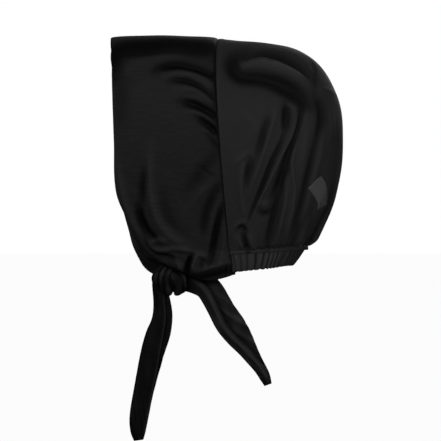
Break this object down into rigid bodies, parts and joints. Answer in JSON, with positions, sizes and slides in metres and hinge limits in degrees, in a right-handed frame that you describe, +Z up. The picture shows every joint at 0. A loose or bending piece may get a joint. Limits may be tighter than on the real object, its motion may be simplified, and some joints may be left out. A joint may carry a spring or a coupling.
{
  "type": "tied underscarf bonnet cap",
  "caption": "Bonnet-shaped underscarf cap with a jersey front, a sheer gathered back and ties knotted under the chin.",
  "frame": {"origin": "where the top of the head touches the inside of the crown, on the crown seam", "axes": "+Z up out of the crown; the wearer faces -X; the wearer's left side, where the knot is, is -Y"},
  "size_m": [0.2446, 0.1646, 0.4229],
  "materials": {
    "jersey": "black viscose jersey, doubled, with a soft sheen",
    "chiffon": "black crepe chiffon, slightly sheer",
    "label_tape": "pale woven tape, blank"
  },
  "bodies": {
    "root": {"front_panel": "jersey", "back_panel": "chiffon", "nape_casing": "chiffon", "chin_knot": "jersey", "tie_end_front": "jersey", "tie_end_rear": "jersey", "care_label": "label_tape"}
  },
  "joints": []
}
